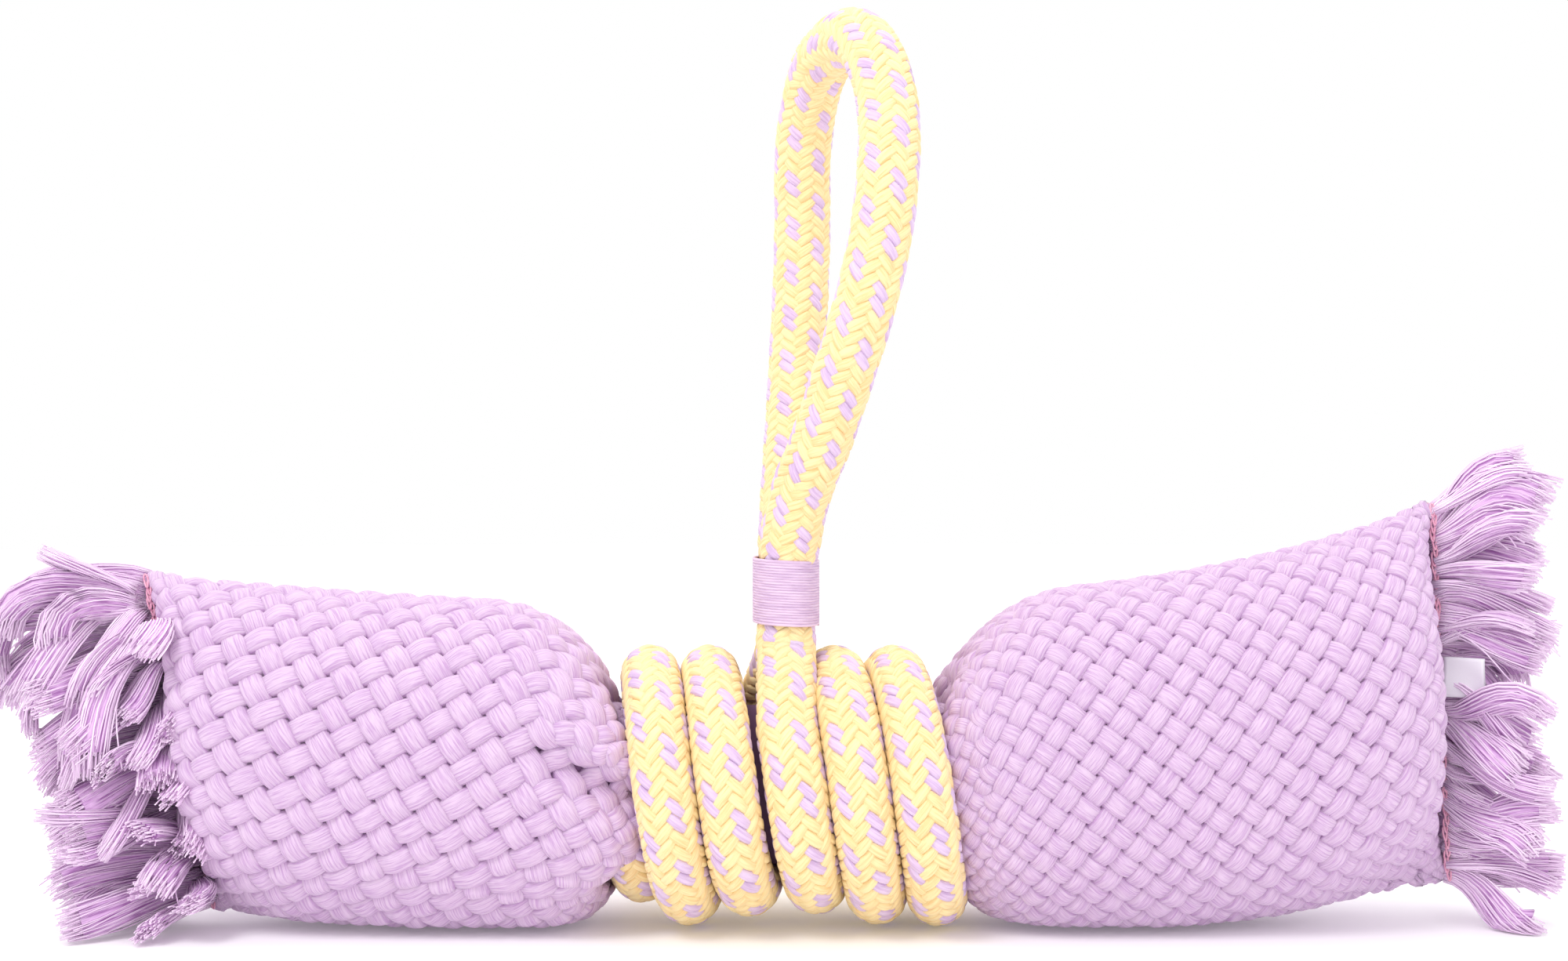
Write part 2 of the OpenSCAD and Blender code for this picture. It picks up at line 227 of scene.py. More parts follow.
# ---------------------------------------------------------------- meshes of many strands
def mesh_object(name, verts, quads, uvs, tones, mats, slots=None, caps=()):
    """One mesh from numpy arrays: verts in mm, quads with their corners' UVs, a tone for each vertex."""
    mesh = bpy.data.meshes.new(name)
    mesh.vertices.add(len(verts))
    mesh.vertices.foreach_set("co", (verts * MM).astype(np.float32).ravel())
    extra = [np.asarray(c) for c in caps]
    loops = np.concatenate([quads.ravel()] + [c.ravel() for c in extra])
    totals = np.concatenate([np.full(len(quads), 4)] + [np.full(len(c), c.shape[1]) for c in extra])
    starts = np.concatenate([[0], np.cumsum(totals)[:-1]])
    mesh.loops.add(len(loops))
    mesh.loops.foreach_set("vertex_index", loops.astype(np.int32))
    mesh.polygons.add(len(totals))
    mesh.polygons.foreach_set("loop_start", starts.astype(np.int32))
    mesh.polygons.foreach_set("loop_total", totals.astype(np.int32))
    mesh.polygons.foreach_set("use_smooth", np.ones(len(totals), bool))
    if slots is not None:
        rest = np.concatenate([np.zeros(len(c), int) for c in extra]) if extra else np.zeros(0, int)
        mesh.polygons.foreach_set("material_index", np.concatenate([slots, rest]).astype(np.int32))
    layer = mesh.uv_layers.new(name="strand")
    flat = np.zeros((len(loops), 2), np.float32)
    flat[: len(uvs.reshape(-1, 2))] = uvs.reshape(-1, 2)
    layer.data.foreach_set("uv", flat.ravel())
    tone = mesh.attributes.new("tone", "FLOAT_VECTOR", "POINT")
    tone.data.foreach_set("vector", np.repeat(tones.astype(np.float32), 3))
    for m in mats:
        mesh.materials.append(m)
    mesh.update(calc_edges=True)
    mesh.validate()
    obj = bpy.data.objects.new(name, mesh)
    bpy.context.scene.collection.objects.link(obj)
    return obj


def unit(v):
    return v / np.maximum(np.linalg.norm(v, axis=-1, keepdims=True), 1e-9)


def sweep(name, centres, sides, outs, section, mats, slots=None, tones=None):
    """Closed strands along centres, with unit vectors to one side and outwards, all (strands, points, 3).
    section says how far each outline point lies to the side and outwards, in mm, and its shape is
    (strands or 1, points or 1, around, 2)."""
    count, length, _ = centres.shape
    section = np.broadcast_to(section, (count, length) + section.shape[2:])
    around = section.shape[2]
    verts = centres[:, :, None] + sides[:, :, None] * section[..., :1] + outs[:, :, None] * section[..., 1:]
    index = np.arange(count * length * around).reshape(count, length, around)
    nxt = np.roll(index, -1, axis=2)
    quads = np.stack([index[:, :-1], nxt[:, :-1], nxt[:, 1:], index[:, 1:]], -1)
    steps = np.linalg.norm(np.diff(centres, axis=1), axis=-1)
    run = np.concatenate([np.zeros((count, 1)), np.cumsum(steps, 1)], 1)
    u0 = np.broadcast_to(np.arange(around) / around, quads.shape[:3])
    u1 = u0 + 1 / around
    v0 = np.broadcast_to(run[:, :-1, None], quads.shape[:3])
    v1 = np.broadcast_to(run[:, 1:, None], quads.shape[:3])
    corners = ((u0, v0), (u1, v0), (u1, v1), (u0, v1))
    uvs = np.stack([np.stack(corner, -1) for corner in corners], -2)
    if tones is None:
        tones = rng.random(count)
    tone = np.repeat(tones, length * around)
    slot = None if slots is None else np.repeat(slots, (length - 1) * around)
    caps = [index[:, 0, ::-1], index[:, -1]]
    return mesh_object(name, verts.reshape(-1, 3), quads.reshape(-1, 4), uvs.reshape(-1, 4, 2), tone, mats,
                       slot, caps)


def bundle_outline(top, under, power=2.6):
    """A flattened bundle of yarn, 1 wide and 1 high: an arch of top points over a flat run of under."""
    a = np.linspace(-0.5, 0.5, top)
    arch = (1 - np.abs(2 * a) ** power) ** (1 / power)
    low = np.linspace(0.42, -0.42, under)
    return np.concatenate([np.stack([a, arch], -1), np.stack([low, np.full(under, -0.25)], -1)])


# ---------------------------------------------------------------- rope
def smooth_route(points, step):
    """A smooth curve through the points, cut into even steps."""
    p = np.asarray(points, float)
    p = np.concatenate([[2 * p[0] - p[1]], p, [2 * p[-1] - p[-2]]])
    t = np.linspace(0, 1, 24, endpoint=False)[:, None]
    out = []
    for a, b, c, d in zip(p[:-3], p[1:-2], p[2:-1], p[3:]):
        bend, twist = 2 * a - 5 * b + 4 * c - d, 3 * b - a - 3 * c + d
        out.append(0.5 * (2 * b + (c - a) * t + bend * t ** 2 + twist * t ** 3))
    curve = np.concatenate(out + [p[-2:-1]])
    run = np.concatenate([[0], np.cumsum(np.linalg.norm(np.diff(curve, axis=0), axis=1))])
    s = np.linspace(0, run[-1], int(run[-1] / step) + 1)
    return np.stack([np.interp(s, run, curve[:, k]) for k in range(3)], -1), s


def coil_point(x0, psi):
    """Points on the rope's centre line round the waist, psi degrees from the top over the front. The coil
    leans a little, and its middle turns are drawn in under the waist."""
    a = np.radians(psi)
    x = x0 + PITCH * psi / 360 - COIL_LEAN * COIL_R * np.cos(a)
    drawn = 4.0 * np.exp(-((x - 1) / 15) ** 2) * np.clip(-np.cos(a), 0, 1) ** 2
    return np.stack([x, -COIL_R * np.sin(a), AXIS_Z + COIL_R * np.cos(a) + drawn], -1)


def leave_angle():
    """Where a leg leaves the coil, in degrees from the top: a straight leg is tangent there."""
    up = STUB_TOP - AXIS_Z
    return math.degrees(math.acos(COIL_R / math.hypot(LEG_Y, up)) + math.atan2(LEG_Y, up))


def leg(p, y):
    """A leg's route from p on the coil, in under the whipping and up to its middle."""
    pts = []
    for across, up in ((0.33, 0.33), (0.72, 0.66), (1, 1)):
        pts.append([p[0] + (WHIP[0] - p[0]) * across, p[1] + (y - p[1]) * across,
                    p[2] + (STUB_TOP - p[2]) * up])
    return pts + [[WHIP[0], y, WHIP[2]]]


def rope_routes():
    out = leave_angle()
    psi = np.linspace(TAIL_LEFT - TAIL_MORE, 720 - out, 60)
    left = coil_point(LEFT_TURN_X, psi)
    under = np.clip((-90 - psi) / 160, 0, 1)
    dive = 9 * under ** 2 * (3 - 2 * under)  # the tail is drawn in under the first turn and the cover
    a = np.radians(psi)
    left += dive[:, None] * np.stack([0.4 + 0 * a, np.sin(a), -np.cos(a)], -1)
    right = coil_point(RIGHT_TURN_X, np.linspace(out, TAIL_RIGHT, 60))
    return {
        "left": np.concatenate([left, leg(left[-1], LEG_Y)]),
        "right": np.concatenate([leg(right[0], -LEG_Y)[::-1], right]),
        "loop": LOOP_ROUTE + WHIP,
    }


def rope_frame(curve):
    """The rope's direction at each point, and two unit vectors across it."""
    t = unit(np.gradient(curve, axis=0))
    u = unit(np.cross(t, [1.0, 0, 0]))
    return t, u, np.cross(t, u)


def girth_along(s, ends):
    """How thick the rope is along its run. Each of its two ends is "cut", where it narrows to a sealed tip,
    or "tied", where the whipping draws it in."""
    scale = np.ones_like(s)
    for kind, inward in zip(ends, (s, s[-1] - s)):
        if kind == "cut":
            scale = scale - 0.5 * np.clip(1 - inward / 3.5, 0, 1) ** 2
        else:
            scale = scale - 0.15 / (1 + np.exp((inward - 8.5) / 0.9))
    return scale


def braid(name, curve, s, scale, mats):
    """Both families of strands of a braided sheath along a curve."""
    t, u, v = rope_frame(curve)
    outline = bundle_outline(6, 2, 3.2)
    pieces = []
    for family, hand in (("s", 1), ("z", -1)):
        index = np.arange(CARRIERS)[:, None]
        theta = hand * 2 * np.pi * s / LAY + 2 * np.pi * index / CARRIERS
        crossing = 2 * index + hand * 2 * CARRIERS * s / LAY
        wave = hand * np.cos(np.pi / 2 * (crossing - 0.5))
        over = np.sign(wave) * np.abs(wave) ** 0.7
        out = np.cos(theta)[..., None] * u + np.sin(theta)[..., None] * v
        wobble = (1 + 0.012 * np.sin(s / 9.0 + index)) * scale
        centres = curve + out * ((BRAID_R + BRAID_WAVE * over) * wobble)[..., None]
        along = unit(np.gradient(centres, axis=1))
        side = unit(np.cross(out, along))
        width = STRAND_W * (1 + 0.06 * over)
        high = np.broadcast_to(outline[:, 1] * STRAND_T, width.shape + (len(outline),))
        section = np.stack([outline[:, 0] * width[..., None], high], -1)
        slots = (np.arange(CARRIERS) % 4 < 2).astype(int) * (hand == -1)  # lilac strands, one way only
        piece = sweep(f"{name}_{family}", centres, side, out, section, mats, slots)
        pieces.append(piece)
    return pieces


def rope_liner(name, curve, scale, mat):
    """The sheath's inner face, a plain tube under the strands, which keeps light out of the braid. Its darker
    orange is painted shade, seen in the braid's gaps.
    """
    t, u, v = rope_frame(curve)
    a = np.linspace(0, 2 * np.pi, 14, endpoint=False)
    section = np.stack([np.cos(a), np.sin(a)], -1)[None, None] * LINER_R * scale[None, :, None, None]
    return sweep(name, curve[None], u[None], v[None], section, [mat], tones=np.zeros(1))


def make_rope():
    yellow = thread_material("yellow_cotton", (238, 203, 146), (246, 224, 172), soft=0.12)
    lilac = thread_material("lilac_cotton_rope", (201, 171, 208), (221, 198, 226), soft=0.12)
    # painted shade: the liner's darker orange stands for the shade in the braid's gaps and creases
    inner = plain_material("rope_shade", (236, 184, 112))
    nodes = {
        "left": (("rope_sheath_left", "rope_core_left"), ("waist", "loop_foot"), LEGS_BLEND),
        "right": (("rope_sheath_right", "rope_core_right"), ("waist", "loop_foot"), LEGS_BLEND),
        "loop": (("loop_sheath", "loop_core", "leg_sheaths", "leg_cores"), ("loop_foot", "hand_loop"),
                 LOOP_BLEND),
    }
    for name, route in rope_routes().items():
        cad, bodies, heights = nodes[name]
        curve, s = smooth_route(route, LAY / (2 * CARRIERS) / BRAID_SAMPLES)
        ends = {"left": ("cut", "tied"), "right": ("tied", "cut"), "loop": ("tied", "tied")}[name]
        scale = girth_along(s, ends)
        liner = rope_liner(f"rope_{name}_liner", curve[::4], scale[::4], inner)
        strands = braid(f"rope_{name}_braid", curve, s, scale, [yellow, lilac])
        for piece in [liner] + strands:
            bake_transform(piece)
        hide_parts(*cad)


def make_whipping():
    mat = thread_material("whipping_cotton", (200, 170, 203), (222, 195, 221), across=4, bump=0.3, soft=0.1)
    a = np.linspace(0, 2 * np.pi * WHIP_TURNS, WHIP_TURNS * 72)
    reach_x, reach_y = ROPE_R + 0.7, LEG_Y + ROPE_R + 0.4
    power = 0.76
    x = reach_x * np.sign(np.cos(a)) * np.abs(np.cos(a)) ** power
    y = reach_y * np.sign(np.sin(a)) * np.abs(np.sin(a)) ** power
    z = -WHIP_H / 2 + WHIP_THREAD / 2 + (WHIP_H - WHIP_THREAD) * a / a[-1] - x * 0.06
    centres = (np.stack([x, y, z], -1) + WHIP)[None]
    along = unit(np.gradient(centres, axis=1))
    out = unit(np.stack([x / reach_x ** 2, y / reach_y ** 2, 0 * x], -1))[None]
    side = unit(np.cross(out, along))
    b = np.linspace(0, 2 * np.pi, 8, endpoint=False)
    section = np.stack([np.cos(b) * 0.52, np.sin(b) * 0.5], -1)[None, None] * WHIP_THREAD
    piece = sweep("whipping_thread", centres, side, out, section, [mat])
    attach(piece, "loop_foot")
    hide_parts("whipping")


# ---------------------------------------------------------------- stuffed ends
class End:
    """One stuffed end. side is -1 on the left and 1 on the right, and reach is the seam's distance from the
    middle. belly and top are the heights over the belly and at the seam. lift is how far the underside
    climbs to the seam's foot, and lean how far the seam's top leans outwards. flare is where the top leaves
    the coil. strands are the numbers in the weave's two families, and slants their angles to the toy's
    length, at the coil and at the seam. bulge is how far the faces come out before the seam, recess how far
    they go in at it, and ear how much the lower corner narrows."""

    def __init__(self, name, side, reach, belly, top, lift, lean, flare, strands, slants, bulge, recess, ear):
        self.name, self.side, self.reach = name, side, reach
        self.belly, self.top, self.lift, self.lean, self.flare = belly, top, lift, lean, flare
        self.strands, self.slants, self.bulge, self.recess, self.ear = strands, slants, bulge, recess, ear


LEFT = End("left", side=-1, reach=153.0, belly=81.5, top=88.5, lift=7.0, lean=8.5, flare=45.0,
           strands=(32, 18), slants=((34, 27), (56, 61)), bulge=8.0, recess=5.0, ear=0.4)
RIGHT = End("right", side=1, reach=166.0, belly=84.0, top=106.5, lift=14.0, lean=-2.0, flare=43.0,
            strands=(32, 28), slants=((41, 40), (49, 50)), bulge=8.0, recess=7.0, ear=0.75)


def rope_edge(end, phi):
    """Where the cover comes out from under the coil, at each angle round the waist."""
    psi = np.degrees(np.pi / 2 - phi)  # phi is 90 degrees at the top and 180 at the front
    psi = np.mod(-psi, 360)            # psi runs from the top over the front
    if end.side < 0:
        step = 1 / (1 + np.exp(-(psi - 128) / 6))
        ahead = LEFT_TURN_X + PITCH * psi / 360
        x = -(ahead - PITCH * step)
        wrap = 1 / (1 + np.exp(-(psi - 345) / 5))
        return x * (1 - wrap) + (-LEFT_TURN_X) * wrap + COVER_EDGE + COIL_LEAN * COIL_R * np.sin(phi)
    turns = RIGHT_TURN_X + PITCH * (720 + psi) / 360
    step = 1 / (1 + np.exp(-(psi - 284) / 6))
    return turns - PITCH * step + COVER_EDGE - COIL_LEAN * COIL_R * np.sin(phi)


def end_surface(end, v, phi):
    """Points of the cover. v runs from 0 under the coil to 1 at the seam. phi runs round it from 0 at the
    back, and is a quarter turn at the top and a half turn at the front."""
    x0 = rope_edge(end, phi)
    x = x0 + v * (end.reach - x0)
    u = np.clip((x - FLARE_X) / (end.reach - FLARE_X), 0, 1)
    e = np.clip((u - CLOSE_U) / (1 - CLOSE_U), 0, 1)
    # the left end swells faster low on its front
    quick = 0.4 * np.clip(np.cos(phi - math.radians(232)), 0, 1) ** 2 * (end is LEFT)
    start = x0 - 2 + np.clip(end.flare - x0 + 2, 0, 20) * np.clip(np.sin(phi), 0, 1) ** 2
    t = np.clip((x - start) / (FLARE_LEN * (1 - quick)), 0, 1)
    f = np.sqrt(np.clip(1 - (1 - t) ** 2, 0, 1))
    top = (AXIS_Z + WAIST_R) * (1 - f) + (end.belly + (end.top - end.belly) * u ** 2) * f
    lift = end.lift * np.maximum(0, (u - 0.45) / 0.55) ** 1.1
    bottom = (AXIS_Z - WAIST_R) * (1 - f) + (lift - FLOOR_PRESS) * f
    half = (WAIST_R + (BELLY_DEPTH / 2 - WAIST_R) * f) * np.sqrt(np.clip(1 - e ** 2.6, 0, 1))
    half = np.maximum(SEAM_HALF, half)
    c, s = np.cos(phi), np.sin(phi)
    ear = np.clip((-s - 0.45) / 0.5, 0, 1) ** 2 * np.clip((e - 0.35) / 0.5, 0, 1)
    half = half * (1 - end.ear * ear)
    z = (top + bottom) / 2 + (top - bottom) / 2 * s
    z = np.where(z < 4, 4 - 2.6 * np.tanh((4 - z) / 4), z)
    y = half * c
    if end is LEFT:  # a pleat runs out from under the coil
        away = (z - 37 - (x - 38) * 0.45) / 4.8
        fade = np.clip((70 - x) / 22, 0, 1) * np.clip(-c * 3, 0, 1)
        y = y + fade * (5.2 * np.exp(-(away ** 2)) - 2.2 * np.exp(-((away - 2.0) ** 2)))
    x = x + end.lean * e ** 2 * s + (end.bulge * np.sin(np.pi * e ** 1.6) - end.recess * e ** 8) * c ** 2
    return np.stack([end.side * x, y, z], -1)


class Skin:
    """The cover's surface on a grid that is even round every section, so that strands keep their spacing."""

    def __init__(self, end, rows=260, around=720):
        fine = np.linspace(-np.pi / 2, 1.5 * np.pi, 2 * around)
        even = np.linspace(0, 1, around + 1)
        grid = []
        for v in np.linspace(0, 1, rows):
            p = end_surface(end, v, fine)
            run = np.concatenate([[0], np.cumsum(np.linalg.norm(np.diff(p, axis=0), axis=1))])
            at = even * run[-1]
            grid.append(np.stack([np.interp(at, run, p[:, k]) for k in range(3)], -1)[:-1])
        self.points = np.array(grid)
        dv = np.gradient(self.points, axis=0)
        da = (np.roll(self.points, -1, 1) - np.roll(self.points, 1, 1)) / 2
        self.normals = unit(np.cross(da, dv)) * end.side
        steps = np.linalg.norm(np.diff(self.points, axis=0), axis=-1).mean(1)
        self.run = np.concatenate([[0], np.cumsum(steps)])
        self.girth = np.linalg.norm(self.points - np.roll(self.points, 1, 1), axis=-1).sum(1)
        self.v = np.linspace(0, 1, rows)

    def at(self, v, turn):
        """Points and normals: v runs along the cover from 0 to 1, and turn round it from its lowest line."""
        rows, around, _ = self.points.shape
        r = np.clip(v, 0, 1) * (rows - 1)
        c = np.mod(turn / (2 * np.pi), 1) * around
        r0 = np.minimum(r.astype(int), rows - 2)
        c0 = c.astype(int) % around
        c1 = (c0 + 1) % around
        fr, fc = (r - r0)[..., None], (c - np.floor(c))[..., None]

        def mix(grid):
            low = grid[r0, c0] * (1 - fc) + grid[r0, c1] * fc
            high = grid[r0 + 1, c0] * (1 - fc) + grid[r0 + 1, c1] * fc
            return low * (1 - fr) + high * fr
        return mix(self.points), unit(mix(self.normals))


def weave(end, skin, mat):
    """The cover's two families of strands, which run slantwise round it and pass over and under in turn."""
    mean = (skin.girth[1:] + skin.girth[:-1]) / 2
    kappa = np.concatenate([[0], np.cumsum(np.diff(skin.run) / mean * 2 * np.pi)])
    slants, climbs = [], []
    for first, last in end.slants:
        slant = np.radians(first + (last - first) * skin.run / skin.run[-1])
        slants.append(slant)
        climbs.append(np.concatenate([[0], np.cumsum(np.tan(slant[1:]) * np.diff(kappa))]))
    total = climbs[0] + climbs[1]
    outline = bundle_outline(8, 3, 2.8)
    pieces = []
    for which, hand in ((0, 1), (1, -1)):
        mine, other = end.strands[which], end.strands[1 - which]
        crossings = other * total[-1] / (2 * np.pi)
        k = np.linspace(0, crossings, int(crossings * WEAVE_SAMPLES) + 1)
        at = k * 2 * np.pi / other
        vv = np.interp(at, total, skin.v)
        pitch = np.interp(at, total, skin.girth / mine * np.cos(slants[which]))
        index = np.arange(mine)[:, None]
        around = 2 * np.pi * index / mine + hand * np.interp(at, total, climbs[which])
        p, nrm = skin.at(np.broadcast_to(vv, around.shape), around)
        over = hand * np.cos(np.pi * (index * (1 + other / mine) + hand * k))
        scale = pitch / WEAVE_PITCH
        sink = 2.3 - 1.2 * np.clip(vv * 12 - 11, 0, 1)  # the strands lie less deep close to the seam
        centres = p + nrm * ((over * 0.88 - sink) * scale)[..., None]
        along = unit(np.gradient(centres, axis=1))
        side = unit(np.cross(nrm, along))
        width = pitch * (1.02 + 0.06 * over)
        section = np.stack([
            outline[:, 0] * width[..., None],
            outline[:, 1] * (BUNDLE_T * scale * (1 + 0.1 * over))[..., None]], -1)
        piece = sweep(f"cover_{end.name}_strands_{'ab'[which]}", centres, side, nrm, section, [mat])
        pieces.append(piece)
    return pieces


def lining(end, skin, mat):
    """The cover's inner face: one closed skin under the strands. Its dark lilac is painted shade, seen in the
    weave's gaps.
    """
    rings, around = 60, 64
    v = np.linspace(0, 1, rings) ** 0.9
    a = np.linspace(0, 2 * np.pi, around, endpoint=False)
    vs, turns = np.meshgrid(v, a, indexing="ij")
    p, n = skin.at(vs, turns)
    p = p - n * (0.7 + 2.2 * np.clip((1 - vs) / 0.08, 0, 1))[..., None]
    index = np.arange(rings * around).reshape(rings, around)
    nxt = np.roll(index, -1, axis=1)
    quads = np.stack([index[:-1], nxt[:-1], nxt[1:], index[1:]], -1).reshape(-1, 4)
    if end.side < 0:
        quads = quads[:, ::-1]
    caps = [index[0][None, ::end.side * -1], index[-1][None, ::end.side]]
    uvs = np.zeros((len(quads), 4, 2))
    piece = mesh_object(f"cover_{end.name}_lining", p.reshape(-1, 3), quads, uvs, np.zeros(rings * around),
                        [mat], caps=caps)
    return piece


def make_end(end, strand_mat, lining_shade_mat):
    skin = Skin(end)
    inner = lining(end, skin, lining_shade_mat)
    for piece in [inner] + weave(end, skin, strand_mat):
        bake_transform(piece)
    parts = ("cover", "cover_neck", "stuffing", "stuffing_neck")
    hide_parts(*(f"{part}_{end.name}" for part in parts))


# ---------------------------------------------------------------- seams, fringes and label
def seam_edge(end, t):
    """The seam's line just past the closed edge, with t from 0 at its foot to 1 at its top."""
    phi = -np.pi / 2 + np.pi * t
    lean = end.lean * np.sin(phi)
    top, bottom = end.top, end.lift - FLOOR_PRESS
    z = np.maximum((top + bottom) / 2 + (top - bottom) / 2 * np.sin(phi), 1.5)
    return np.stack([end.side * (end.reach + lean), 0 * z, z], -1)


def even_seam(end, count, inset):
    """Places evenly along the seam, and their shares of its run. inset is the share left free at each end."""
    t = np.linspace(0, 1, 400)
    p = seam_edge(end, t)
    run = np.concatenate([[0], np.cumsum(np.linalg.norm(np.diff(p, axis=0), axis=1))])
    at = np.linspace(inset, 1 - inset, count) * run[-1]
    return np.stack([np.interp(at, run, p[:, k]) for k in range(3)], -1), at / run[-1]


def make_stitches(end, mat):
    """Chain stitch along both faces of the seam. Each link is a long loop that starts inside the last."""
    p, _ = even_seam(end, STITCHES, 0.012)
    along = unit(np.gradient(p, axis=0))
    a = np.linspace(0, 2 * np.pi, 15)
    rings, outs = [], []
    for face in (-1, 1):
        normal = np.array([0, face, 0.0])
        side = unit(np.cross(normal, along))
        wander = 0.35 * np.sin(np.arange(STITCHES) * 1.7 + face)
        base = p + normal * 2.2 + side * wander[:, None] + [end.side * 0.6, 0, 0]
        swell = 0.46 + 0.14 * np.cos(a)
        ring = (base[:, None] + along[:, None] * (1.75 * np.cos(a))[None, :, None]
                + side[:, None] * (swell * np.sin(a))[None, :, None]
                + normal * (0.22 - 0.3 * np.cos(a))[None, :, None])
        rings.append(ring)
        outs.append(np.broadcast_to(normal, ring.shape))
    centres = np.concatenate(rings)
    out = np.concatenate(outs)
    direction = unit(np.gradient(centres, axis=1))
    direction[:, 0] = direction[:, -1] = unit(centres[:, 1] - centres[:, -2])
    side = unit(np.cross(out, direction))
    b = np.linspace(0, 2 * np.pi, 6, endpoint=False)
    section = np.stack([np.cos(b), np.sin(b)], -1)[None, None] * STITCH_R
    piece = sweep(f"seam_{end.name}_stitches", centres, side, out, section, [mat])
    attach(piece, f"{end.name}_end")
    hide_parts(f"seam_stitches_{end.name}")


def tassels(name, roots, starts, ends, lengths, bends, spread, mats, body, node):
    """Tufts of loose threads, each round a heart that fills it, darker than the threads as painted shade.
    A tuft leaves its root along starts, wanders, comes round to ends and opens."""
    count = len(roots)
    mat, heart_shade_mat = mats
    t = np.linspace(0, 1, RINGS)
    share = t[None] ** bends[:, None]
    kick = rng.normal(0, 0.32, (count, 1, 3)) * np.sin(np.pi * t * 1.25)[None, :, None]
    heading = unit(starts[:, None] * (1 - share[..., None]) + ends[:, None] * share[..., None] + kick)
    steps = heading[:, :-1] * (lengths / (RINGS - 1))[:, None, None]
    spine = np.concatenate([roots[:, None], roots[:, None] + np.cumsum(steps, 1)], 1)
    u = unit(np.cross(heading[:, 0], rng.normal(size=(count, 3))))
    across = [u]
    for k in range(1, RINGS):
        u = unit(u - heading[:, k] * np.sum(u * heading[:, k], -1, keepdims=True))
        across.append(u)
    across = np.stack(across, 1)
    upright = np.cross(heading, across)
    i = np.arange(THREADS)
    reach = np.sqrt((i + 0.5) / THREADS)
    angle = i * GOLDEN_ANGLE  # spreads the threads evenly over the tuft's section
    twist = (rng.uniform(-1.0, 1.6, count)[:, None] * t[None])[..., None]
    opening = (1.7 + spread[:, None] * np.sin(t[None] * 1.9) ** 1.3)[..., None]
    a = angle[None, None] + twist
    lx = TUFT_FLAT * reach * np.cos(a) * opening
    ly = reach * np.sin(a) * opening / TUFT_FLAT
    drift = rng.normal(0, 1, (count, 1, THREADS, 2)) * (0.1 + 0.5 * t ** 2)[None, :, None, None] * 0.5
    phase = rng.uniform(0, 6.3, (count, 1, THREADS))
    wave = 0.22 * np.sin(t[None, :, None] * rng.uniform(7, 14, (count, 1, THREADS)) + phase)
    loose = rng.random((count, 1, THREADS)) < 0.03
    stray = loose * rng.normal(0, 3.2, (count, 1, THREADS)) * t[None, :, None] ** 2
    lx = lx + drift[..., 0] + wave * t[None, :, None] + stray
    ly = ly + drift[..., 1] + wave * 0.6
    cut = rng.uniform(0.9, 1.04, (count, 1, THREADS))
    pull = (cut - 1) * lengths[:, None, None] * t[None, :, None] ** 3
    centres = (spine[:, :, None] + across[:, :, None] * lx[..., None] + upright[:, :, None] * ly[..., None]
               + heading[:, :, None] * pull[..., None])
    centres = centres.transpose(0, 2, 1, 3).reshape(count * THREADS, RINGS, 3)
    low = 0.45  # threads that would pass into the ground lie on it
    centres[..., 2] = low + 0.9 * np.logaddexp(0, (centres[..., 2] - low) / 0.9)
    along = unit(np.gradient(centres, axis=1))
    side = unit(np.cross(along, [0.21, 0.93, 0.31]))
    out = np.cross(along, side)
    b = np.linspace(0, 2 * np.pi, 3, endpoint=False)
    section = np.stack([np.cos(b), np.sin(b)], -1)[None, None] * THREAD_R
    tone = np.repeat(rng.random(count), THREADS) * 0.6 + rng.random(count * THREADS) * 0.4
    piece = sweep(name, centres, side, out, section, [mat], tones=tone)
    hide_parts(node)
    a = np.linspace(0, 2 * np.pi, 14, endpoint=False)
    ring = np.stack([TUFT_FLAT * np.cos(a + twist), np.sin(a + twist) / TUFT_FLAT], -1)
    ring = ring * opening[..., None] * 0.86
    last = RINGS - 1
    spine[..., 2] = np.maximum(spine[..., 2], 2.7)
    # the hearts carry painted shade: darker than the threads, deep in each tuft
    heart = sweep(name.replace("threads", "hearts"), spine[:, :last], across[:, :last], upright[:, :last],
                  ring[:, :last], [heart_shade_mat], tones=rng.random(count))
    for v in heart.data.vertices:
        v.co.z = max(v.co.z, 0.5 * MM)
    for part in (piece, heart):
        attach(part, body)


def angled(side, out, elevation):
    """Directions away from the seam. out turns them to the front and elevation lifts them, in degrees."""
    o, e = np.radians(out), np.radians(elevation)
    return np.stack([side * np.cos(o) * np.cos(e), -np.sin(o) * np.cos(e), np.sin(e) + 0 * o], -1)


def make_fringe_right(mats):
    for layer, face in (("front", 1), ("back", -1)):
        n = 34
        roots, t = even_seam(RIGHT, n, 0.012)
        if face > 0:  # the label comes out here
            keep = (t < 0.52) | (t > 0.61)
            roots, t = roots[keep], t[keep]
            n = len(t)
        shift = [rng.uniform(0.2, 1.4, n), -face * rng.uniform(0.5, 1.4, n), rng.uniform(-0.5, 0.5, n)]
        at = [0, 0.1, 0.3, 0.5, 0.75, 0.9, 1]
        lift = np.interp(t, at, [-2, -14, -42, -4, 14, 30, 34]) + rng.normal(0, 10, n)
        fall = np.interp(t, at, [-24, -14, -8, -34, -32, -12, 4]) + rng.normal(0, 15, n)
        out = face * np.interp(t, [0, 0.35, 0.5, 0.8, 1], [14, 44, 28, 20, 6]) + rng.normal(0, 12, n)
        length = np.interp(t, [0, 0.5, 1], [28, 28, 31]) * rng.uniform(0.8, 1.06, n)
        tassels(f"fringe_right_{layer}_threads", roots + np.stack(shift, -1), angled(1, out, lift),
                angled(1, out * 0.5, fall), length, rng.uniform(0.7, 1.2, n), rng.uniform(1.2, 2.4, n), mats,
                "right_end", f"fringe_right_{layer}")


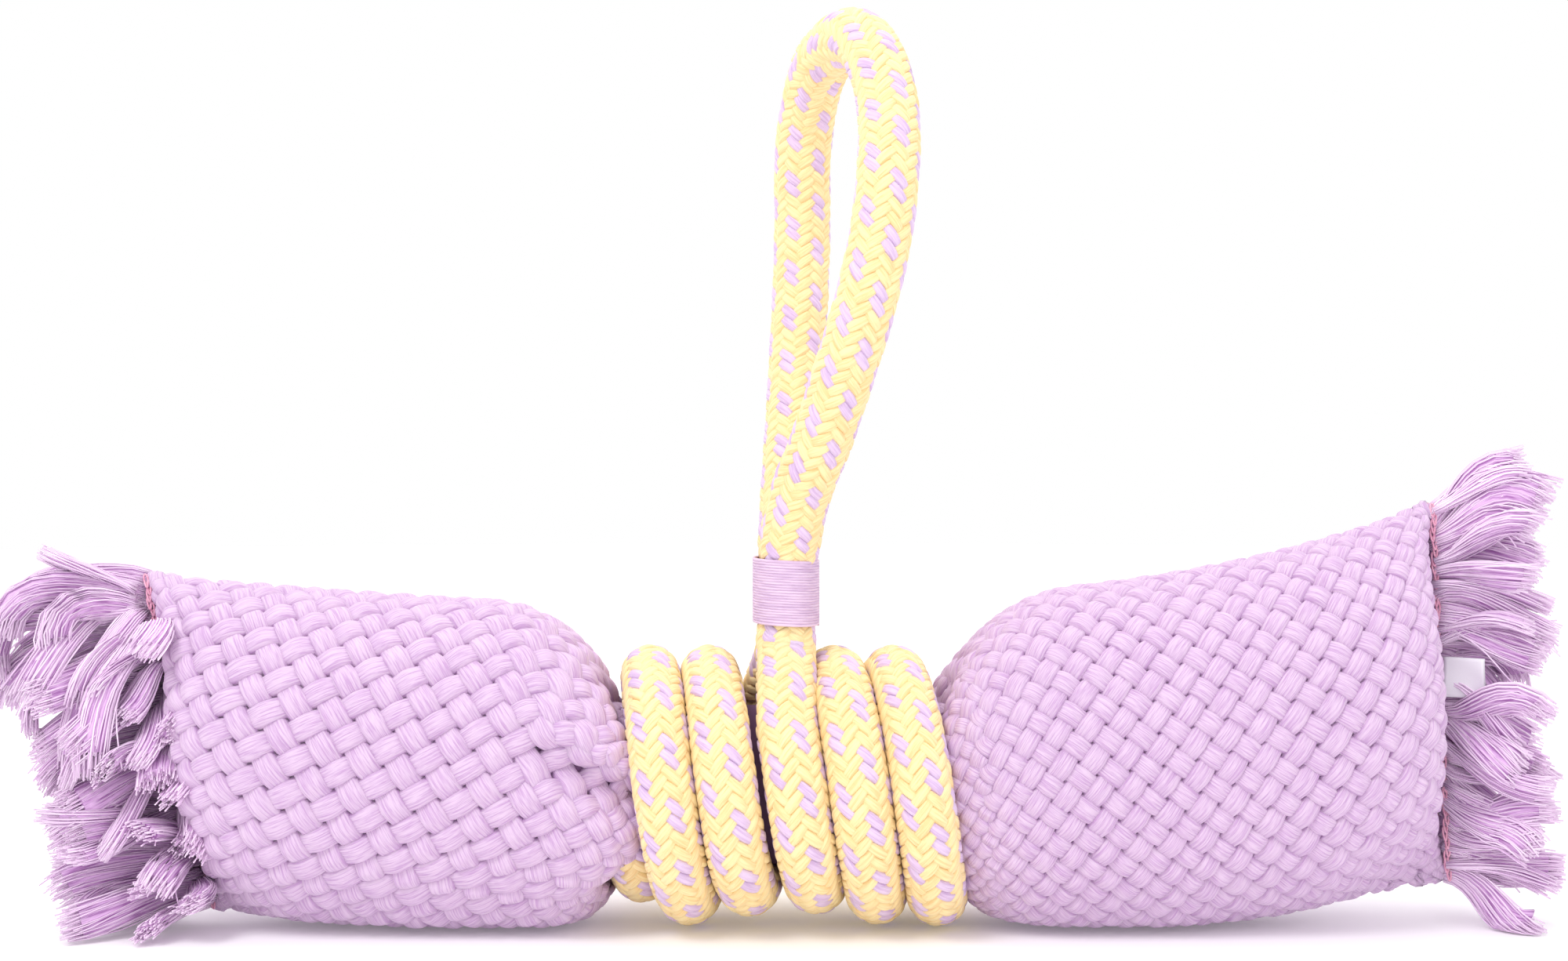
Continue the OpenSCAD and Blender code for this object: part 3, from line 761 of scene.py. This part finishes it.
# Tufts at the left end's top corner: share of the seam's run, lift at the root, lift at the tip and turn to
# the front in degrees, and length in mm
CORNER_TUFTS = np.array([
    [0.995, 30, 24, 8, 25], [0.99, 24, 8, -4, 25], [0.98, 10, -22, 10, 32], [0.97, 4, -38, 24, 33],
    [0.96, 2, -66, 20, 42], [0.95, -6, -84, 34, 44], [0.93, -10, -88, 52, 46], [0.95, -24, -86, 78, 48],
    [0.91, -34, -84, 92, 46], [0.9, 0, -74, 30, 42],
])


def make_fringe_left(mats):
    for layer, face in (("front", 1), ("back", -1)):
        n = 34 if face > 0 else 30
        roots, t = even_seam(LEFT, n, 0.012)
        if face > 0:  # the corner's own tufts follow above this
            keep = t < 0.86
            roots, t = roots[keep], t[keep]
            n = len(t)
        if face > 0:
            lift = np.interp(t, [0, 0.2, 0.6, 0.86], [8, 6, 4, 6]) + rng.normal(0, 13, n)
            fall = np.interp(t, [0, 0.2, 0.6, 0.86], [-12, -20, -26, -46]) + rng.normal(0, 14, n)
            out = np.where(np.arange(n) % 2, 38, 82) + rng.normal(0, 11, n)
            length = np.where(np.arange(n) % 2, 36, 29) * rng.uniform(0.84, 1.06, n)
            spot, tuft = even_seam(LEFT, 400, 0.0)[0] - [2.5, 0, 3.5], CORNER_TUFTS
            roots = np.concatenate([roots, spot[(tuft[:, 0] * 399).astype(int)]])
            pairs = zip((lift, fall, out, length), tuft.T[1:])
            lift, fall, out, length = (np.concatenate(pair) for pair in pairs)
            n = len(roots)
        else:
            lift = np.interp(t, [0, 0.3, 0.8, 1], [-2, 4, 10, 20]) + rng.normal(0, 12, n)
            fall = np.interp(t, [0, 0.3, 0.8, 1], [-8, -20, -50, -60]) + rng.normal(0, 13, n)
            out = rng.normal(8, 18, n)
            length = np.interp(t, [0, 0.8, 1], [38, 38, 42]) * rng.uniform(0.86, 1.04, n)
        shift = [-rng.uniform(0.2, 1.4, n), -face * rng.uniform(0.5, 1.4, n), rng.uniform(-0.5, 0.5, n)]
        spread = rng.uniform(1.2, 2.0, n)
        if face > 0:
            spread[-len(CORNER_TUFTS):] = 1.1
        tassels(f"fringe_left_{layer}_threads", roots + np.stack(shift, -1), angled(-1, out, lift),
                angled(-1, out * 0.95, fall), length, rng.uniform(0.45, 0.8, n), spread, mats, "left_end",
                f"fringe_left_{layer}")


def make_label(mat):
    """A folded satin tape, caught in the right seam with its fold outwards."""
    rows, cols = 25, 11
    a = np.linspace(0, 1, rows)
    w = np.linspace(-0.5, 0.5, cols)
    half, height = 10.0, 10.0
    x = np.where(a < 0.5, a * 2, 2 - 2 * a) * half
    y = np.where(a < 0.5, -1, 1) * 0.35 * np.sqrt(np.clip(1 - (x / half) ** 6, 0, 1))
    px, pz = np.meshgrid(x, w * height, indexing="ij")
    py = y[:, None] + 0.9 * np.sin(px / half * 2.6) + 0.35 * np.sin(pz * 0.5 + px * 0.3)
    turn = math.radians(36)
    root = np.array([RIGHT.reach + 0.5, -5.5, 63.5])
    c, s = math.cos(turn), math.sin(turn)
    verts = np.stack([px * c + py * s, py * c - px * s, pz], -1) + root
    index = np.arange(rows * cols).reshape(rows, cols)
    quads = np.stack([index[:-1, :-1], index[:-1, 1:], index[1:, 1:], index[1:, :-1]], -1).reshape(-1, 4)
    u = np.broadcast_to(w[None] * height, (rows, cols)).ravel()
    v = np.broadcast_to((a * 2 * half)[:, None], (rows, cols)).ravel()
    uvs = np.stack([u[quads], v[quads]], -1)
    piece = mesh_object("label_tape", verts.reshape(-1, 3), quads, uvs, np.zeros(rows * cols), [mat])
    thick = piece.modifiers.new("thickness", "SOLIDIFY")
    thick.thickness = 0.22 * MM
    thick.offset = 0
    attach(piece, "right_end")
    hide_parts("label")


# ---------------------------------------------------------------- the toy
place_camera()
light_scene()
make_floor()
make_rope()
make_whipping()
cover_cotton = thread_material("lilac_cotton", (190, 154, 196), (214, 189, 215), across=34, along=0.16,
                               bump=0.75, soft=0.12)
# painted shade: the lining's dark lilac stands for the shade in the weave's gaps and under the coil
cover_shade = plain_material("cover_shade", (136, 98, 139))
for one in (LEFT, RIGHT):
    make_end(one, cover_cotton, cover_shade)
fringe_mats = (
    thread_material("fringe_cotton", (229, 189, 231), (252, 227, 252), across=2, along=0.05, bump=0.1,
                    sheen=0.1, soft=0.15),
    # painted shade: the hearts' darker lilac stands for the shade deep in each tuft
    thread_material("fringe_heart_shade", (160, 104, 168), (224, 184, 228), across=44, along=0.12, bump=0.9),
)
make_fringe_left(fringe_mats)
make_fringe_right(fringe_mats)
pink_thread = thread_material("pink_thread", (212, 142, 172), (232, 176, 198), across=3, along=1.2, bump=0.4)
for one in (LEFT, RIGHT):
    make_stitches(one, pink_thread)
make_label(plain_material("label_satin", (246, 242, 250), 0.6))
# The CAD part's own waist stays under the coil, dark with the lining's painted shade
for node in ("cover_waist", "stuffing_waist"):
    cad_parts[node].data.materials.clear()
    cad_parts[node].data.materials.append(cover_shade)
